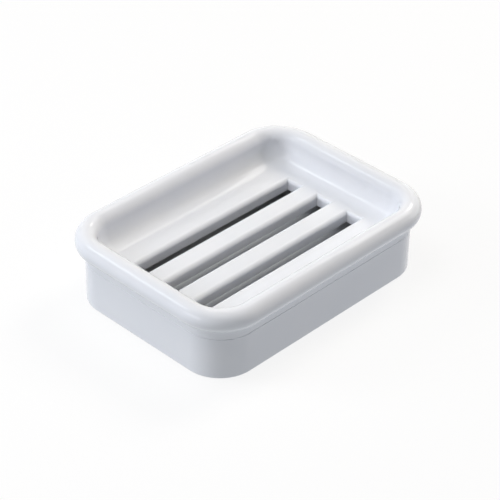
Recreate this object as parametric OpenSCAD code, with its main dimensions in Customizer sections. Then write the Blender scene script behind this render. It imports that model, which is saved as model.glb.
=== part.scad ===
// Two-piece soap dish in white glazed ceramic. A slotted tray with a fat rolled rim sits in a low
// base that catches the drips. The tray lifts straight out, and four rubber pads under the base
// keep the dish from sliding.
// Origin: centre of the dish, on the surface it stands on. +X runs along its length, +Z is up.

/* [Body] */
// Length of the base, and of the tray's skirt that stands flush on it
body_l = 130; // [110:1:170]
// Width of the base and of the skirt
body_w = 93; // [84:1:120]
// Radius of the upright corners, seen from above
corner_r = 17.8; // [16:0.1:24]
// Rounding of the edges that meet at the seam, which makes the fine line between the pieces
seam_edge_r = 0.35; // [0.2:0.05:0.8]

/* [Base] */
// Height of the base, from its underside to the seam
base_h = 20.4; // [16:0.1:40]
// Thickness of the base's wall
base_wall = 3.6; // [3:0.1:4.6]
// Thickness of the base's floor
base_floor = 3.8; // [3:0.1:6]
// Radius of the cove between the wall and the floor inside the base
basin_cove_r = 4; // [2:0.1:5]
// Rounding of the outer edge that the base stands on
foot_edge_r = 0.8; // [0.4:0.1:2]

/* [Rim] */
// Radius of the rolled rim's round section
rim_r = 5; // [4:0.05:6]
// How far the rolled rim stands out past the skirt
rim_overhang = 4.25; // [3.5:0.05:4.5]
// Height of the rim's centre above the seam
rim_rise = 9.6; // [8.5:0.1:14]
// Radius of the small cove under the rim, where it runs into the skirt
rim_cove_r = 1.5; // [0.8:0.1:2]

/* [Tray] */
// Thickness of the slotted floor that the soap lies on
tray_floor = 5.7; // [4.5:0.1:7]
// Depth of the plug that drops into the base, below the seam
plug_depth = 5.75; // [4:0.05:8]
// Gap all round between the plug and the base's wall
plug_clearance = 0.5; // [0.3:0.1:0.9]
// Rounding of the plug's lower edge, which leads it into the base
plug_edge_r = 1.2; // [0.6:0.1:2]

/* [Well] */
// Radius of the cove low on the tray's inner wall
well_cove_r = 5.5; // [4:0.1:7]
// Radius of the wider curve in which the cove runs out into the floor
well_floor_r = 10; // [8:0.5:12]
// How far the inner wall has leaned over from upright where the cove starts, in degrees
well_wall_turn = 30; // [25:1:35]
// How far it has leaned over where the cove hands over to the wider curve, in degrees
well_cove_turn = 62; // [55:1:70]

/* [Slots] */
// Number of drain slots
slot_count = 3; // [1:1:4]
// Distance from one slot to the next
slot_pitch = 18.2; // [15:0.1:19]
// Width of a slot between its upright walls
slot_w = 7.3; // [4.5:0.1:8]
// Distance from the tray's inner wall to a slot's end wall
slot_margin = 11.9; // [11:0.1:24]
// Rounding of the slots' upper edges
slot_edge_r = 2.1; // [1:0.05:2.5]

/* [Pads] */
// Diameter of a pad
pad_d = 12; // [8:0.5:16]
// Thickness of a pad
pad_t = 1.6; // [1.4:0.1:2.4]
// Depth of the recess that a pad is stuck into
pad_recess = 1; // [0.6:0.1:1.2]
// Gap round a pad in its recess
pad_clearance = 0.25; // [0.15:0.05:0.5]
// Distance from the base's outer face to a pad's centre
pad_inset = 17; // [14:0.5:24]

/* [Hidden] */
$fn = 96;

glaze_colour = [0.94, 0.95, 0.97];
rubber_colour = [0.55, 0.56, 0.57];

// How far a cutting shape runs past the face that it cuts, and past it on a turn, in degrees
overrun = 1;
over_turn = 10;

// Heights above the surface that the dish stands on
base_z = pad_t - pad_recess;
basin_z = base_z + base_floor;
seam_z = base_z + base_h;
tray_under_z = seam_z - plug_depth;
tray_floor_z = tray_under_z + tray_floor;
rim_z = seam_z + rim_rise;

// Distances in from the body's outer face
rim_inset = rim_r - rim_overhang;
tray_wall = rim_inset + rim_r;
plug_inset = base_wall + plug_clearance;
slot_l = body_l - 2 * (tray_wall + slot_margin);
basin_cove_inset = base_wall + basin_cove_r;

// Unit vector in the tray's section that points from the middle of the well to its outside, turned
// down by the given number of degrees
function way(turn) = [cos(turn), -sin(turn)];

// Radius and centres of the three curves of the well, from the rolled rim down to the floor. Each
// curve ends where the next one starts, in the same direction.
well_depth = rim_z - tray_floor_z;
well_drop = well_depth - well_floor_r + (well_floor_r - well_cove_r) * sin(well_cove_turn);
well_wall_r = well_cove_r + well_drop / sin(well_wall_turn);
wall_centre = [-tray_wall - well_wall_r, rim_z];
cove_centre = wall_centre + (well_wall_r - well_cove_r) * way(well_wall_turn);
run_out_centre = cove_centre + (well_cove_r - well_floor_r) * way(well_cove_turn);
well_inset = -run_out_centre[0];

// Height of the point where the cove under the rim starts on the skirt
rim_cove_z = rim_z - sqrt(pow(rim_r + rim_cove_r, 2) - pow(rim_inset + rim_cove_r, 2));

// Rounded rectangle of the body's outline, drawn in by the given distance
module body_plan(inset) {
    l = body_l - 2 * inset;
    w = body_w - 2 * inset;
    r = corner_r - inset;
    square([l - 2 * r, w], center = true);
    square([l, w - 2 * r], center = true);
    for (x = [-1, 1], y = [-1, 1])
        translate([x * (l / 2 - r), y * (w / 2 - r)])
            circle(r);
}

// Carries a section once round the body. The section's x runs outward from the body's outer face
// and its y runs up.
module around_body() {
    for (turn = [0:3]) {
        across = turn % 2 == 0 ? body_l : body_w;
        along = turn % 2 == 0 ? body_w : body_l;
        rotate(90 * turn) {
            translate([across / 2, 0])
                rotate([90, 0, 0])
                    linear_extrude(along - 2 * corner_r, center = true)
                        children();
            translate([across / 2 - corner_r, along / 2 - corner_r])
                rotate_extrude(angle = 90)
                    translate([corner_r, 0])
                        children();
        }
    }
}

// Square corner of side r with a quarter circle taken out, to round an edge or fill a cove. The
// sharp corner is at the origin, and x_way and y_way say which way the square lies.
module corner_fillet(r, x_way, y_way) {
    difference() {
        translate([min(x_way, 0) * r, min(y_way, 0) * r])
            square(r);
        translate([x_way * r, y_way * r])
            circle(r);
    }
}

// Wall of the base: flat outside, with a cove where it runs into the floor
module base_section() {
    difference() {
        union() {
            translate([-base_wall, base_z])
                square([base_wall, base_h]);
            translate([-basin_cove_inset, base_z])
                square([basin_cove_inset, base_floor]);
            translate([-base_wall, basin_z])
                corner_fillet(basin_cove_r, -1, 1);
        }
        translate([0, seam_z])
            corner_fillet(seam_edge_r, -1, -1);
        translate([-base_wall, seam_z])
            corner_fillet(seam_edge_r, 1, -1);
        translate([0, base_z])
            corner_fillet(foot_edge_r, -1, 1);
    }
}

// Wall of the tray: plug below the seam, flush skirt, rolled rim, and three curves down to the floor
module tray_section() {
    difference() {
        union() {
            translate([-plug_inset, seam_z])
                square([plug_inset, rim_rise]);
            difference() {
                translate([-well_inset, tray_under_z])
                    square([well_inset - plug_inset, rim_z - tray_under_z]);
                well_sector(wall_centre, well_wall_r, -over_turn, well_wall_turn);
                translate(cove_centre)
                    circle(well_cove_r);
                well_sector(run_out_centre, well_floor_r, well_cove_turn, 90 + over_turn);
            }
            translate([-rim_inset, rim_z])
                circle(rim_r);
            rim_cove();
        }
        translate([0, seam_z])
            corner_fillet(seam_edge_r, -1, 1);
        translate([-plug_inset, tray_under_z])
            corner_fillet(plug_edge_r, -1, 1);
    }
}

// Slice of a circle that clears the air inside one curve of the well. The cove's whole circle lies in
// the air, and it covers the edges where the two slices end, so no sliver is left between them.
module well_sector(centre, r, from, to) {
    intersection() {
        translate(centre)
            circle(r);
        polygon([centre, centre + 2 * r * way(from), centre + 2 * r * way(to)]);
    }
}

// Small cove that runs from the skirt into the underside of the rim
module rim_cove() {
    difference() {
        polygon([[0, rim_cove_z], [rim_cove_r, rim_cove_z], [-rim_inset, rim_z]]);
        translate([rim_cove_r, rim_cove_z])
            circle(rim_cove_r);
    }
}

module base() {
    color(glaze_colour)
        difference() {
            union() {
                around_body()
                    base_section();
                translate([0, 0, base_z])
                    linear_extrude(base_floor)
                        body_plan(base_wall + basin_cove_r / 2);
            }
            for (x = [-1, 1], y = [-1, 1])
                at_pad(x, y)
                    translate([0, 0, base_z - overrun])
                        cylinder(d = pad_d + 2 * pad_clearance, h = pad_recess + overrun);
        }
}

module tray() {
    color(glaze_colour)
        difference() {
            union() {
                around_body()
                    tray_section();
                translate([0, 0, tray_under_z])
                    linear_extrude(tray_floor)
                        body_plan((tray_wall + well_inset) / 2);
            }
            for (i = [0:slot_count - 1])
                translate([0, slot_pitch * (i - (slot_count - 1) / 2), 0])
                    slot_cut();
        }
}

// One drain slot. Two prisms meet at right angles, so the rounded edges are mitred at the corners.
module slot_cut() {
    intersection() {
        rotate([90, 0, 90])
            linear_extrude(slot_l + 2 * slot_edge_r, center = true)
                slot_section(slot_w);
        rotate([90, 0, 0])
            linear_extrude(slot_w + 2 * slot_edge_r, center = true)
                slot_section(slot_l);
    }
}

// Section of a slot of the given width, flared by the rounding of its upper edges
module slot_section(width) {
    translate([-width / 2, tray_under_z - overrun])
        square([width, tray_floor + 2 * overrun]);
    for (side = [-1, 1])
        translate([side * width / 2, tray_floor_z])
            corner_fillet(slot_edge_r, side, -1);
}

// Places a pad or its recess under one corner of the base
module at_pad(x, y) {
    translate([x * (body_l / 2 - pad_inset), y * (body_w / 2 - pad_inset), 0])
        children();
}

// Round rubber pad, stuck into its recess and standing a little proud of the base
module foot(x, y) {
    color(rubber_colour)
        at_pad(x, y)
            cylinder(d = pad_d, h = pad_t);
}

base();
tray();
foot(-1, -1);  // foot_front_left
foot(1, -1);  // foot_front_right
foot(-1, 1);  // foot_rear_left
foot(1, 1);  // foot_rear_right
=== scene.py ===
# %% [markdown]
# A two-piece soap dish in white glazed ceramic. A slotted tray with a fat rolled rim sits in a low
# base, and four rubber pads under the base keep it from sliding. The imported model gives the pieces
# and their places. This file gives them smooth shells, finishes, light and a camera.

import math

import bmesh
import bpy
from mathutils import Matrix, Vector


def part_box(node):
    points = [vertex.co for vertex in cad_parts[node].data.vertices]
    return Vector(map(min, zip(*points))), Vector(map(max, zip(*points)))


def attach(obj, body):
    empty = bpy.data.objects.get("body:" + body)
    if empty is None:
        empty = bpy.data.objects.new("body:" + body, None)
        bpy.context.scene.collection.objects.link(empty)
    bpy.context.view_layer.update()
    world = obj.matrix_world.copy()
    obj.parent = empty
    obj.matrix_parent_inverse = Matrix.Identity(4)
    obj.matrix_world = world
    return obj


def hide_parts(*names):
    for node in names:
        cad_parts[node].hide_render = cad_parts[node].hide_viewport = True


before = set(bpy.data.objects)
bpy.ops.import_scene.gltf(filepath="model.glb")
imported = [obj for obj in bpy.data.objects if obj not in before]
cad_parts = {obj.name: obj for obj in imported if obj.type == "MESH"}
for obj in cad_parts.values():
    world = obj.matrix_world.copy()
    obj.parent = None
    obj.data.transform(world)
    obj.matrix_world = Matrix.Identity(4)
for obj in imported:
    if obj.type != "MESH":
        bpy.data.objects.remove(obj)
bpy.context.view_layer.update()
base_low, base_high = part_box("base")
tray_low, tray_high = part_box("tray")

# %% [markdown]
# The real dish is made of wall sections that run once round a rounded rectangle. A maker draws one
# section and carries it round the mould. The same way suits a mesh: one path of points, swept round
# the plan, gives even quads that a glossy glaze can be seen in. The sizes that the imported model's
# boxes hold are read from them, and the rest are the section's own.

# %% Sizes of the dish
MM = 0.001

BODY_LENGTH = base_high.x - base_low.x
BODY_WIDTH = base_high.y - base_low.y
CORNER_RADIUS = 17.8 * MM
SEAM_EDGE_RADIUS = 0.35 * MM

BASE_Z = base_low.z
SEAM_Z = base_high.z
BASE_WALL = 3.6 * MM
BASE_FLOOR = 3.8 * MM
BASIN_Z = BASE_Z + BASE_FLOOR
BASIN_COVE_RADIUS = 4 * MM
FOOT_EDGE_RADIUS = 0.8 * MM

RIM_RADIUS = 5 * MM
RIM_OVERHANG = tray_high.x - base_high.x
RIM_INSET = RIM_RADIUS - RIM_OVERHANG
RIM_Z = tray_high.z - RIM_RADIUS
RIM_COVE_RADIUS = 1.5 * MM
RIM_COVE_Z = RIM_Z - math.sqrt((RIM_RADIUS + RIM_COVE_RADIUS) ** 2 - (RIM_INSET + RIM_COVE_RADIUS) ** 2)

TRAY_UNDER_Z = tray_low.z
TRAY_FLOOR = 5.7 * MM
TRAY_FLOOR_Z = TRAY_UNDER_Z + TRAY_FLOOR
TRAY_WALL = RIM_INSET + RIM_RADIUS
PLUG_CLEARANCE = 0.5 * MM
PLUG_INSET = BASE_WALL + PLUG_CLEARANCE
PLUG_EDGE_RADIUS = 1.2 * MM

SLOT_PITCH = 18.2 * MM
SLOT_WIDTH = 7.3 * MM
SLOT_MARGIN = 11.9 * MM
SLOT_LENGTH = BODY_LENGTH - 2 * (TRAY_WALL + SLOT_MARGIN)
SLOT_EDGE_RADIUS = 2.1 * MM
SLOT_CENTRES = [-SLOT_PITCH, 0, SLOT_PITCH]
print("rim stands out", round(RIM_OVERHANG / MM, 2), "mm and the seam is at", round(SEAM_Z / MM, 2), "mm")

# %% [markdown]
# A section is a list of points. Its x is the distance out from the dish's upright wall and its y is
# the height. Every round edge in it is an arc, so one helper makes arcs of any radius.

# %% Arcs and loops
ARC_STEP = math.radians(5)
FEWEST_ARC_STEPS = 4
CORNER_STEPS = 24


def arc(centre, radius, start, end):
    """Points on an arc in the section, from one angle to the other, in degrees."""
    turn = math.radians(end - start)
    steps = max(FEWEST_ARC_STEPS, round(abs(turn) / ARC_STEP))
    angles = [math.radians(start) + turn * i / steps for i in range(steps + 1)]
    return [(centre[0] + radius * math.cos(a), centre[1] + radius * math.sin(a)) for a in angles]


def body_loop(bm, outset, z):
    """A closed loop of vertices round the body's rounded rectangle, moved out by the given distance."""
    radius = CORNER_RADIUS + outset
    across, along = BODY_LENGTH / 2 - CORNER_RADIUS, BODY_WIDTH / 2 - CORNER_RADIUS
    loop = []
    for quarter, (sx, sy) in enumerate([(1, 1), (-1, 1), (-1, -1), (1, -1)]):
        for i in range(CORNER_STEPS + 1):
            a = math.radians(90) * (quarter + i / CORNER_STEPS)
            x = sx * across + radius * math.cos(a)
            y = sy * along + radius * math.sin(a)
            loop.append(bm.verts.new((x, y, z)))
    return loop


def bridge(bm, lower, upper):
    """Joins two loops of the same length with a band of quads."""
    for i in range(len(lower)):
        j = (i + 1) % len(lower)
        bm.faces.new((lower[i], lower[j], upper[j], upper[i]))


def sweep_loops(bm, loops):
    """Joins each loop to the next."""
    for lower, upper in zip(loops, loops[1:]):
        bridge(bm, lower, upper)


# %% [markdown]
# The floor of the tray and both faces of the base's floor are flat sheets with holes. Blender's
# triangle fill closes such a sheet between its outline and its holes, and because it is flat the
# triangles never show.

# %% Flat sheets with holes
def loop_edges(bm, loop):
    """The edges of a closed loop, made where they are missing."""
    pairs = [(loop[i], loop[(i + 1) % len(loop)]) for i in range(len(loop))]
    return [bm.edges.get(pair) or bm.edges.new(pair) for pair in pairs]


def fill_sheet(bm, outline, holes=(), up=True):
    """Fills a flat outline round its holes, facing up or down."""
    edges = [e for loop in (outline, *holes) for e in loop_edges(bm, loop)]
    made = bmesh.ops.triangle_fill(bm, use_beauty=True, use_dissolve=False, edges=edges)
    for face in (g for g in made["geom"] if isinstance(g, bmesh.types.BMFace)):
        if (face.normal.z > 0) != up:
            face.normal_flip()


# %% [markdown]
# Every piece is finished in the same way. It is shaded smooth, except where two faces meet at a real
# edge. Blender's Weighted Normal modifier lets the large faces set the shading beside a rounding, so
# no smear runs from the rounding over them. Then the piece is hung on the body that it moves with, the
# CAD node that it stands for is hidden, and it takes its finish.

# %% Finishing a piece
SHARP_ANGLE = math.radians(32)


def finish_mesh(bm, name, material, body, node):
    """Turns the bmesh into a smooth-shaded piece that stands for a CAD node."""
    mesh = bpy.data.meshes.new(name)
    bmesh.ops.recalc_face_normals(bm, faces=bm.faces)
    bm.to_mesh(mesh)
    bm.free()
    mesh.shade_smooth()
    mesh.set_sharp_from_angle(angle=SHARP_ANGLE)
    piece = bpy.data.objects.new(name, mesh)
    bpy.context.scene.collection.objects.link(piece)
    even = piece.modifiers.new("even_shading", "WEIGHTED_NORMAL")
    even.keep_sharp = True
    mesh.materials.append(material)
    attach(piece, body)
    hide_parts(node)
    size = [round(d / MM, 2) for d in piece.dimensions]
    print(name, "has", len(mesh.vertices), "vertices and measures", size, "mm")
    return piece


# %% [markdown]
# The finish is a glassy glaze over a white fired body. The body scatters light evenly, and the clear
# glaze on it gives a sharp reflection of about four per cent, which is what makes the dish look wet.
# Principled's coat is that glaze: a clear layer over a diffuse base. A real glaze isn't quite flat,
# so a long, shallow ripple bends the reflections a little.

# %% Colour and node helpers
# A Mix node that is set to colours has its two colours and its result under these numbers
FIRST_COLOUR = 6
SECOND_COLOUR = 7
MIXED_COLOUR = 2


def linear(hex_colour):
    """Linear RGBA of an sRGB hex colour."""
    channels = [int(hex_colour[i:i + 2], 16) / 255 for i in (1, 3, 5)]
    return [c / 12.92 if c <= 0.04045 else ((c + 0.055) / 1.055) ** 2.4 for c in channels] + [1]


def add_node(tree, kind, settings=None, links=None):
    """Adds a node, sets its properties or inputs, and links its inputs to other nodes' outputs."""
    node = tree.nodes.new(kind)
    for key, value in (settings or {}).items():
        if isinstance(key, int) or key in node.inputs:
            node.inputs[key].default_value = value
        else:
            setattr(node, key, value)
    for key, output in (links or {}).items():
        tree.links.new(output, node.inputs[key])
    return node


def new_material(name):
    """An empty node material and its node tree."""
    material = bpy.data.materials.new(name)
    material.use_nodes = True
    material.node_tree.nodes.clear()
    return material, material.node_tree


# %% Glazed ceramic
GLAZE_WHITE = "#EDEEF1"
GLAZE_POOLED = "#E6E9EE"
POOL_SIZE = 22 * MM
RIPPLE_SIZE = 14 * MM
RIPPLE_HEIGHT = 0.004 * MM
BODY_ROUGHNESS = 0.6
GLAZE_ROUGHNESS = 0.015
GLAZE_IOR = 1.5


def glazed_ceramic():
    """White body under a clear glassy glaze."""
    material, tree = new_material("white_ceramic_glaze")
    place = add_node(tree, "ShaderNodeTexCoord")
    pools = add_node(tree, "ShaderNodeTexNoise", {"Scale": 1 / POOL_SIZE, "Detail": 2},
                     {"Vector": place.outputs["Object"]})
    tint = add_node(tree, "ShaderNodeMix",
                    {"data_type": "RGBA",
                     FIRST_COLOUR: linear(GLAZE_WHITE),
                     SECOND_COLOUR: linear(GLAZE_POOLED)},
                    {"Factor": pools.outputs["Fac"]})
    ripple = add_node(tree, "ShaderNodeTexNoise", {"Scale": 1 / RIPPLE_SIZE, "Detail": 1},
                      {"Vector": place.outputs["Object"]})
    relief = add_node(tree, "ShaderNodeBump", {"Strength": 1, "Distance": RIPPLE_HEIGHT},
                      {"Height": ripple.outputs["Fac"]})
    shader = add_node(tree, "ShaderNodeBsdfPrincipled",
                      {"Roughness": BODY_ROUGHNESS, "IOR": GLAZE_IOR, "Specular IOR Level": 0,
                       "Coat Weight": 1, "Coat Roughness": GLAZE_ROUGHNESS, "Coat IOR": GLAZE_IOR},
                      {"Base Color": tint.outputs[MIXED_COLOUR], "Normal": relief.outputs["Normal"],
                       "Coat Normal": relief.outputs["Normal"]})
    add_node(tree, "ShaderNodeOutputMaterial", None, {"Surface": shader.outputs["BSDF"]})
    return material


glaze = glazed_ceramic()
print("made", glaze.name)

# %% [markdown]
# Glaze melts and would stick to the kiln's shelf, so a potter leaves it off the undersides. The inside
# of the base gets the same grey as painted shade: seen through the slots, the basin lies in deep shade
# and looks much darker than the glaze. Bare fired clay is matt, light grey and a little grainy, with
# specks of iron.

# %% Bare clay, and painted shade in the basin
# Grey of the bare clay, which inside the basin is painted shade
CLAY_GREY_AND_PAINTED_SHADE = "#C9CACB"
STONEWARE_SPECK = "#A5A6A7"
# Real clay's grain is finer, and is drawn this coarse so that it shows
CLAY_GRAIN = 0.6 * MM
CLAY_GRAIN_HEIGHT = 0.015 * MM
SPECK_SPACING = 2.5 * MM
SPECK_RADIUS = 0.225 * MM
STONEWARE_ROUGHNESS = 0.9
STONEWARE_SPECULAR = 0.3


def bare_clay_and_painted_shade():
    """Fired clay without glaze. Inside the basin its grey is painted shade."""
    material, tree = new_material("bare_clay_and_painted_shade")
    place = add_node(tree, "ShaderNodeTexCoord")
    specks = add_node(tree, "ShaderNodeTexVoronoi", {"Scale": 1 / SPECK_SPACING},
                      {"Vector": place.outputs["Object"]})
    is_speck = add_node(tree, "ShaderNodeMath", {"operation": "LESS_THAN", 1: SPECK_RADIUS / SPECK_SPACING},
                        {0: specks.outputs["Distance"]})
    shade = add_node(tree, "ShaderNodeMix",
                     {"data_type": "RGBA",
                      FIRST_COLOUR: linear(CLAY_GREY_AND_PAINTED_SHADE),
                      SECOND_COLOUR: linear(STONEWARE_SPECK)},
                     {"Factor": is_speck.outputs["Value"]})
    grain = add_node(tree, "ShaderNodeTexNoise", {"Scale": 1 / CLAY_GRAIN, "Detail": 3},
                     {"Vector": place.outputs["Object"]})
    relief = add_node(tree, "ShaderNodeBump", {"Strength": 1, "Distance": CLAY_GRAIN_HEIGHT},
                      {"Height": grain.outputs["Fac"]})
    shader = add_node(tree, "ShaderNodeBsdfPrincipled",
                      {"Roughness": STONEWARE_ROUGHNESS, "IOR": 1.5,
                       "Specular IOR Level": STONEWARE_SPECULAR},
                      {"Base Color": shade.outputs[MIXED_COLOUR], "Normal": relief.outputs["Normal"]})
    add_node(tree, "ShaderNodeOutputMaterial", None, {"Surface": shader.outputs["BSDF"]})
    return material


clay_and_painted_shade = bare_clay_and_painted_shade()
print("made", clay_and_painted_shade.name)

# %% [markdown]
# Where the glaze ends, and where the basin gets painted shade, is told face by face. A face has a
# centre and a normal, the direction that it looks in, and both are asked. The normal's z is 1 where a
# face looks straight up and -1 where it looks straight down.

# %% Faces that are left bare, and faces given painted shade
# Limits for the normal's z
LOOKS_UP = 0.5
LOOKS_DOWN = -0.5
LOOKS_STRAIGHT_DOWN = -0.9


def leave_bare_or_paint_shade(piece, is_bare_or_shaded):
    """Gives the grey clay finish to faces without glaze and to faces of painted shade. The test is asked
    about each.
    """
    clay_and_shade_slot = len(piece.data.materials)
    piece.data.materials.append(clay_and_painted_shade)
    faces = [face for face in piece.data.polygons if is_bare_or_shaded(face.center, face.normal)]
    for face in faces:
        face.material_index = clay_and_shade_slot
    print(piece.name, "has", len(faces), "bare faces of", len(piece.data.polygons))


# %% [markdown]
# The pads are cut from grey sheet rubber. Rubber is matt, because its fine grain breaks up what little
# it reflects, and it is a little darker where it is worn.

# %% Pad rubber
RUBBER_GREY = "#8C8E91"
RUBBER_WORN = "#7B7D80"
# The rubber's real grain is finer, and is drawn this coarse so that it shows
RUBBER_GRAIN = 0.8 * MM
RUBBER_GRAIN_HEIGHT = 0.02 * MM
RUBBER_ROUGHNESS = 0.75


def pad_rubber():
    """Matt sheet rubber with a fine grain."""
    material, tree = new_material("grey_pad_rubber")
    place = add_node(tree, "ShaderNodeTexCoord")
    grain = add_node(tree, "ShaderNodeTexNoise", {"Scale": 1 / RUBBER_GRAIN, "Detail": 3},
                     {"Vector": place.outputs["Object"]})
    shade = add_node(tree, "ShaderNodeMix",
                     {"data_type": "RGBA",
                      FIRST_COLOUR: linear(RUBBER_GREY),
                      SECOND_COLOUR: linear(RUBBER_WORN)},
                     {"Factor": grain.outputs["Fac"]})
    relief = add_node(tree, "ShaderNodeBump", {"Strength": 1, "Distance": RUBBER_GRAIN_HEIGHT},
                      {"Height": grain.outputs["Fac"]})
    shader = add_node(tree, "ShaderNodeBsdfPrincipled", {"Roughness": RUBBER_ROUGHNESS, "IOR": 1.5},
                      {"Base Color": shade.outputs[MIXED_COLOUR], "Normal": relief.outputs["Normal"]})
    add_node(tree, "ShaderNodeOutputMaterial", None, {"Surface": shader.outputs["BSDF"]})
    return material


rubber = pad_rubber()
print("made", rubber.name)

# %% [markdown]
# The tray is the piece that takes the most skill. Its section starts under the floor, turns up the
# plug that drops into the base, steps out over the base's top edge, runs up the skirt, round the
# rolled rim, and down the well's three curves to the floor: the inner wall, which leans more and more,
# a tight cove, and a wider curve that runs out into the floor. The arcs meet tangent to tangent, as a
# sponged clay edge does, so no line shows in the glaze except at the seam.

# %% The well's three curves
WELL_COVE_RADIUS = 5.5 * MM
WELL_FLOOR_RADIUS = 10 * MM
# Degrees that the section has turned from upright where one curve hands over to the next
WELL_WALL_TURN = 30
WELL_COVE_TURN = 62


def point_from(centre, distance, turn):
    """The point that lies at a distance from another, outward and turned down by some degrees."""
    a = math.radians(turn)
    return centre[0] + distance * math.cos(a), centre[1] - distance * math.sin(a)


def well_curves():
    """Points down the inner wall, through the cove, to the point where the wide curve meets the floor."""
    widening = (WELL_FLOOR_RADIUS - WELL_COVE_RADIUS) * math.sin(math.radians(WELL_COVE_TURN))
    drop = RIM_Z - TRAY_FLOOR_Z - WELL_FLOOR_RADIUS + widening
    wall_radius = WELL_COVE_RADIUS + drop / math.sin(math.radians(WELL_WALL_TURN))
    wall_centre = (-TRAY_WALL - wall_radius, RIM_Z)
    cove_centre = point_from(wall_centre, wall_radius - WELL_COVE_RADIUS, WELL_WALL_TURN)
    run_out_centre = point_from(cove_centre, WELL_COVE_RADIUS - WELL_FLOOR_RADIUS, WELL_COVE_TURN)
    points = arc(wall_centre, wall_radius, 0, -WELL_WALL_TURN)
    points += arc(cove_centre, WELL_COVE_RADIUS, -WELL_WALL_TURN, -WELL_COVE_TURN)[1:]
    points += arc(run_out_centre, WELL_FLOOR_RADIUS, -WELL_COVE_TURN, -90)[1:-1]
    return points + [(run_out_centre[0], TRAY_FLOOR_Z)]


# %% Section of the tray
def tray_section():
    """Points from the underside, over the rim, to the floor that the soap lies on."""
    well = well_curves()
    rim_centre = (-RIM_INSET, RIM_Z)
    cove_centre = (RIM_COVE_RADIUS, RIM_COVE_Z)
    lean = math.degrees(math.atan2(RIM_Z - RIM_COVE_Z, -RIM_INSET - RIM_COVE_RADIUS))
    points = [(well[-1][0], TRAY_UNDER_Z)]
    plug_edge_centre = (-PLUG_INSET - PLUG_EDGE_RADIUS, TRAY_UNDER_Z + PLUG_EDGE_RADIUS)
    points += arc(plug_edge_centre, PLUG_EDGE_RADIUS, -90, 0)
    points += [(-PLUG_INSET, SEAM_Z)]
    points += arc((-SEAM_EDGE_RADIUS, SEAM_Z + SEAM_EDGE_RADIUS), SEAM_EDGE_RADIUS, -90, 0)
    points += arc(cove_centre, RIM_COVE_RADIUS, 180, lean)
    points += arc(rim_centre, RIM_RADIUS, lean - 180, 180)[1:]
    return points + well[1:]


# %% [markdown]
# A slot is the same idea on a plain rectangle: loops that start wide at the floor, follow the rounded
# edge inward, and drop straight through. With only four points in each loop the rounded edges meet
# in mitres at the corners, as they do on the dish.

# %% Slots in the tray
def slot_loops(bm, centre_y):
    """Loops of one drain slot, from its rounded upper edge to the underside."""
    edge = arc((SLOT_EDGE_RADIUS, TRAY_FLOOR_Z - SLOT_EDGE_RADIUS), SLOT_EDGE_RADIUS, 90, 180)
    section = edge + [(0, TRAY_UNDER_Z)]
    loops = []
    for flare, z in section:
        x, y = SLOT_LENGTH / 2 + flare, SLOT_WIDTH / 2 + flare
        corners = [(x, y), (-x, y), (-x, -y), (x, -y)]
        loops.append([bm.verts.new((cx, centre_y + cy, z)) for cx, cy in corners])
    return loops


def make_tray():
    """The slotted tray with its rolled rim."""
    bm = bmesh.new()
    rings = [body_loop(bm, outset, z) for outset, z in tray_section()]
    sweep_loops(bm, rings)
    slots = [slot_loops(bm, y) for y in SLOT_CENTRES]
    for loops in slots:
        sweep_loops(bm, loops)
    fill_sheet(bm, rings[-1], [loops[0] for loops in slots], up=True)
    fill_sheet(bm, rings[0], [loops[-1] for loops in slots], up=False)
    return finish_mesh(bm, "slotted_tray", glaze, "tray", "tray")


def tray_is_bare(centre, normal):
    """True on the tray's flat underside and the lower part of the rounding round it."""
    return normal.z < LOOKS_DOWN and centre.z < TRAY_UNDER_Z + PLUG_EDGE_RADIUS


tray_shell = make_tray()
leave_bare_or_paint_shade(tray_shell, tray_is_bare)

# %% [markdown]
# The base is a plain trough. Its lower edge is round so that it doesn't chip, a narrow rounded lip
# carries the tray, and a cove inside makes it easy to wipe. It is swept in the way the tray is. The
# four shallow recesses under it are short tubes that are closed at the top, and the flat underside is
# filled round their mouths. That needs no boolean cut, which would leave the shading less clean.

# %% Section of the base
def base_section():
    """Points from the underside, over the lip, to the floor that catches the drips."""
    points = [(-BASE_WALL - BASIN_COVE_RADIUS, BASE_Z)]
    points += arc((-FOOT_EDGE_RADIUS, BASE_Z + FOOT_EDGE_RADIUS), FOOT_EDGE_RADIUS, -90, 0)
    points += arc((-SEAM_EDGE_RADIUS, SEAM_Z - SEAM_EDGE_RADIUS), SEAM_EDGE_RADIUS, 0, 90)
    points += arc((SEAM_EDGE_RADIUS - BASE_WALL, SEAM_Z - SEAM_EDGE_RADIUS), SEAM_EDGE_RADIUS, 90, 180)
    cove_centre = (-BASE_WALL - BASIN_COVE_RADIUS, BASIN_Z + BASIN_COVE_RADIUS)
    points += arc(cove_centre, BASIN_COVE_RADIUS, 0, -90)
    return points


# %% Recesses for the pads
PAD_NODES = ["foot_front_left", "foot_front_right", "foot_rear_left", "foot_rear_right"]
PAD_RECESS_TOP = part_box(PAD_NODES[0])[1].z
PAD_GAP = 0.25 * MM
ROUND_STEPS = 64


def round_loop(bm, centre, radius, z):
    """A closed loop of vertices on a circle."""
    angles = [2 * math.pi * i / ROUND_STEPS for i in range(ROUND_STEPS)]
    spots = [(centre.x + radius * math.cos(a), centre.y + radius * math.sin(a), z) for a in angles]
    return [bm.verts.new(spot) for spot in spots]


def pad_place(node):
    """Centre and radius of a pad, from its CAD node."""
    low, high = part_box(node)
    return (low + high) / 2, (high.x - low.x) / 2


def make_base():
    """The base with its basin and its pad recesses."""
    bm = bmesh.new()
    rings = [body_loop(bm, outset, z) for outset, z in base_section()]
    sweep_loops(bm, rings)
    mouths = []
    for node in PAD_NODES:
        centre, radius = pad_place(node)
        mouth = round_loop(bm, centre, radius + PAD_GAP, BASE_Z)
        top = round_loop(bm, centre, radius + PAD_GAP, PAD_RECESS_TOP)
        bridge(bm, mouth, top)
        bm.faces.new(top)
        mouths.append(mouth)
    fill_sheet(bm, rings[-1], up=True)
    fill_sheet(bm, rings[0], mouths, up=False)
    return finish_mesh(bm, "drip_base", glaze, "base", "base")


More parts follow.
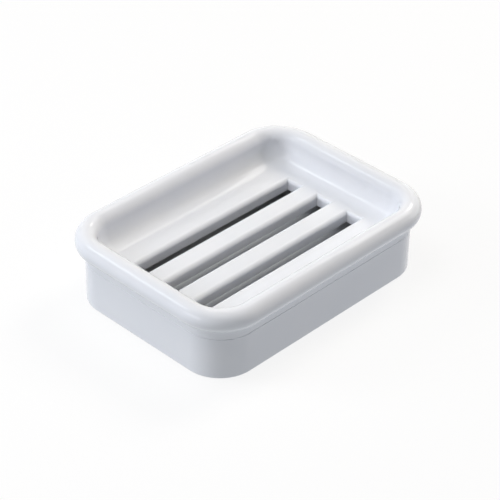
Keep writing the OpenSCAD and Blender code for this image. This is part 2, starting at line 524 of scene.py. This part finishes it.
def base_is_bare_or_painted_shade(centre, normal):
    """True on the bare underside, and on the basin's wall, cove and floor, whose grey is painted shade."""
    faces_in = normal.x * centre.x + normal.y * centre.y < 0
    # The basin's faces take the clay grey as painted shade
    painted_shade_in_basin = centre.z < SEAM_Z - SEAM_EDGE_RADIUS and (normal.z > LOOKS_UP or faces_in)
    return painted_shade_in_basin or normal.z < LOOKS_STRAIGHT_DOWN


base_shell = make_base()
leave_bare_or_paint_shade(base_shell, base_is_bare_or_painted_shade)

# %% [markdown]
# Each pad is a short disc punched from rubber sheet. Its lower edge is worn round, and a fine groove
# near the edge is left by the die. The section is turned about the pad's own axis.

# %% Rubber pads
PAD_EDGE_RADIUS = 0.3 * MM
GROOVE_INSET = 1.4 * MM
GROOVE_WIDTH = 0.5 * MM
GROOVE_DEPTH = 0.2 * MM


def make_pad(node):
    """One pad, turned from its section."""
    centre, radius = pad_place(node)
    low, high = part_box(node)
    worn_edge = arc((radius - PAD_EDGE_RADIUS, low.z + PAD_EDGE_RADIUS), PAD_EDGE_RADIUS, -90, 0)
    groove_out = radius - GROOVE_INSET
    groove_in = groove_out - GROOVE_WIDTH
    groove_top = groove_in + GROOVE_WIDTH / 2
    section = [(groove_in, low.z), (groove_top, low.z + GROOVE_DEPTH), (groove_out, low.z)]
    section += worn_edge + [(radius, high.z)]
    bm = bmesh.new()
    loops = [round_loop(bm, centre, r, z) for r, z in section]
    sweep_loops(bm, loops)
    bm.faces.new(loops[0])
    bm.faces.new(loops[-1])
    return finish_mesh(bm, "pad_" + node, rubber, "base", node)


pads = [make_pad(node) for node in PAD_NODES]
print("made", len(pads), "pads")

# %% [markdown]
# The photograph's perspective fixes the camera. It stands off the dish's front left corner with a
# long lens, a little more than a third of the way up from level, and leans over by about a degree.

# %% Camera
PHOTO_SIZE = 500
FOCAL_PIXELS = 1906.5
# Where the camera stands as seen from the dish, and how far it leans over, in degrees
CAMERA_AZIMUTH = -46.38
CAMERA_ELEVATION = 35.30
CAMERA_ROLL = 1.296
CAMERA_DISTANCE = 838.8 * MM
LOOK_AT = Vector((0, 0, BASE_Z + 15 * MM))


def make_camera():
    """The photograph's camera."""
    data = bpy.data.cameras.new("photo_camera")
    data.lens = FOCAL_PIXELS / PHOTO_SIZE * data.sensor_width
    data.clip_start = 10 * MM
    camera = bpy.data.objects.new("photo_camera", data)
    bpy.context.scene.collection.objects.link(camera)
    a, e = math.radians(CAMERA_AZIMUTH), math.radians(CAMERA_ELEVATION)
    back = Vector((math.sin(a) * math.cos(e), -math.cos(a) * math.cos(e), math.sin(e)))
    right = Vector((0, 0, 1)).cross(back).normalized()
    up = back.cross(right)
    upright = Matrix((right, up, back)).transposed()
    camera.matrix_world = (Matrix.Translation(LOOK_AT + back * CAMERA_DISTANCE)
                           @ upright.to_4x4()
                           @ Matrix.Rotation(math.radians(CAMERA_ROLL), 4, "Z"))
    bpy.context.scene.camera = camera
    return camera


camera = make_camera()
print("lens", round(camera.data.lens, 1), "mm")

# %% [markdown]
# The dish stands on a photographer's light table, a sheet of white acrylic that glows evenly. Its soft
# light from below keeps the foot of the dish from going dark, as in the photograph. White things are
# hard to light: with even light from all round, every face comes out the same. So the room gives no
# light here, and each lamp has one job. The camera and the glaze still see table and room as plain
# white, through Light Path, and the camera sees the dish's own shadow faintly on the table.

# %% What the camera sees of the background
TABLE_SIZE = 3.0
TABLE_GLOW = "#F8FCFF"
TABLE_GLOW_STRENGTH = 0.7
TABLE_WHITE = "#F9F9F9"
# Share of the seen table that takes the dish's shadow, where the rest is plain white
SHADOW_SHARE = 0.15


def seen_as_white(tree):
    """1 for rays that see the background: the camera's, and those that metal, glaze or glass send on."""
    ray = add_node(tree, "ShaderNodeLightPath")
    either = add_node(tree, "ShaderNodeMath", {"operation": "MAXIMUM"},
                      {0: ray.outputs["Is Camera Ray"], 1: ray.outputs["Is Glossy Ray"]})
    any_one = add_node(tree, "ShaderNodeMath", {"operation": "MAXIMUM"},
                       {0: either.outputs["Value"], 1: ray.outputs["Is Transmission Ray"]})
    return any_one.outputs["Value"]


# %% Light table
def white_acrylic():
    """White acrylic that glows. The camera sees plain white, with the dish's shadow faintly on it."""
    material, tree = new_material("white_acrylic")
    glow = add_node(tree, "ShaderNodeEmission",
                    {"Color": linear(TABLE_GLOW), "Strength": TABLE_GLOW_STRENGTH})
    seen = add_node(tree, "ShaderNodeBsdfDiffuse", {"Color": linear(TABLE_WHITE)})
    plain = add_node(tree, "ShaderNodeEmission", {"Color": (1, 1, 1, 1), "Strength": 1})
    faint = add_node(tree, "ShaderNodeMixShader", {"Fac": SHADOW_SHARE},
                     {1: plain.outputs["Emission"], 2: seen.outputs["BSDF"]})
    shown = add_node(tree, "ShaderNodeMixShader", None,
                     {"Fac": seen_as_white(tree), 1: glow.outputs["Emission"], 2: faint.outputs["Shader"]})
    add_node(tree, "ShaderNodeOutputMaterial", None, {"Surface": shown.outputs["Shader"]})
    return material


def make_table():
    """The table's top, a plain square sheet."""
    bm = bmesh.new()
    half = TABLE_SIZE / 2
    corners = [(-half, -half, 0), (half, -half, 0), (half, half, 0), (-half, half, 0)]
    bm.faces.new([bm.verts.new(corner) for corner in corners])
    mesh = bpy.data.meshes.new("table_top")
    bm.to_mesh(mesh)
    bm.free()
    table = bpy.data.objects.new("table_top", mesh)
    bpy.context.scene.collection.objects.link(table)
    mesh.materials.append(white_acrylic())
    return table


table = make_table()
print(table.name, "is", TABLE_SIZE, "m across")


# %% White room
def white_room():
    """World that the camera and the glaze see as white, and that sheds no light of its own."""
    world = bpy.data.worlds.new("white_room")
    world.use_nodes = True
    tree = world.node_tree
    tree.nodes.clear()
    dark = add_node(tree, "ShaderNodeBackground", {"Color": (1, 1, 1, 1), "Strength": 0})
    white = add_node(tree, "ShaderNodeBackground", {"Color": (1, 1, 1, 1), "Strength": 1})
    shown = add_node(tree, "ShaderNodeMixShader", None,
                     {"Fac": seen_as_white(tree),
                      1: dark.outputs["Background"],
                      2: white.outputs["Background"]})
    add_node(tree, "ShaderNodeOutputWorld", None, {"Surface": shown.outputs["Shader"]})
    bpy.context.scene.world = world
    return world


room = white_room()
print("made", room.name)

# %% [markdown]
# Two kinds of lamp light a glossy thing. Fills shade the matt body under the glaze, and each face
# gets its own level from the fills that it looks towards. Windows show in the glaze as bright lines
# along the round edges. Blender's ray visibility keeps the two apart: the glaze doesn't see the fills,
# and the matt body doesn't see the windows, so each can be set without spoiling the other.

# %% Lamps
LAMP_DISTANCE = 1.2

# Each lamp: name, colour, watts, azimuth and elevation in degrees as seen from the dish, and the
# panel's width and height in metres
FILLS = [
    ("right_fill", "#FFF6E8", 6.2, 90, 45, 0.4, 0.4),
    ("rear_left_fill", "#F7FAFF", 5.5, 225, 28, 0.4, 0.4),
    ("overhead_fill", "#FFFBEC", 5.0, 240, 76, 0.8, 0.8),
    ("high_rear_left_fill", "#DCE6FF", 3.8, 225, 62, 0.8, 0.8),
    ("low_front_right_fill", "#F2F1FF", 2.3, 45, 12, 0.4, 0.3),
    ("left_fill", "#F2F3FF", 1.8, 270, 28, 0.4, 0.4),
]
WINDOWS = [
    ("right_window", "#FFFEFA", 1.7, 94, 44, 0.70, 0.34),
    ("low_right_window", "#EFF9FF", 4.2, 84, 18, 1.56, 0.78),
    ("side_window", "#FFFFFF", 0.13, 123, 30, 0.24, 0.42),
    ("rear_right_window", "#FFFDFA", 0.40, 136, 14, 0.42, 0.60),
    ("narrow_right_window", "#FFFCF8", 0.45, 111, 38, 0.26, 0.13),
    ("high_rear_right_window", "#FFFCF4", 0.45, 128, 50, 0.33, 0.37),
    ("rear_left_window", "#F3FBFF", 1.1, 213, 43, 0.50, 0.22),
    ("far_left_window", "#FDFBFF", 2.0, 257, 24, 0.76, 0.42),
]


def make_lamp(name, colour, watts, azimuth, elevation, width, height):
    """A panel that faces the dish."""
    data = bpy.data.lights.new(name, "AREA")
    data.color = linear(colour)[:3]
    data.energy = watts
    data.shape = "RECTANGLE"
    data.size, data.size_y = width, height
    lamp = bpy.data.objects.new(name, data)
    bpy.context.scene.collection.objects.link(lamp)
    a, e = math.radians(azimuth), math.radians(elevation)
    away = Vector((math.sin(a) * math.cos(e), -math.cos(a) * math.cos(e), math.sin(e)))
    lamp.location = away * LAMP_DISTANCE
    lamp.rotation_euler = away.to_track_quat("Z", "Y").to_euler()
    return lamp


fills = [make_lamp(*row) for row in FILLS]
for fill in fills:
    fill.visible_glossy = False
windows = [make_lamp(*row) for row in WINDOWS]
for window in windows:
    window.visible_diffuse = False
lamps = fills + windows
print("lamps:", [lamp.name for lamp in lamps])

# %% [markdown]
# With the Standard view transform a colour shows as it is written.

# %% Finish
bpy.context.scene.view_settings.view_transform = "Standard"
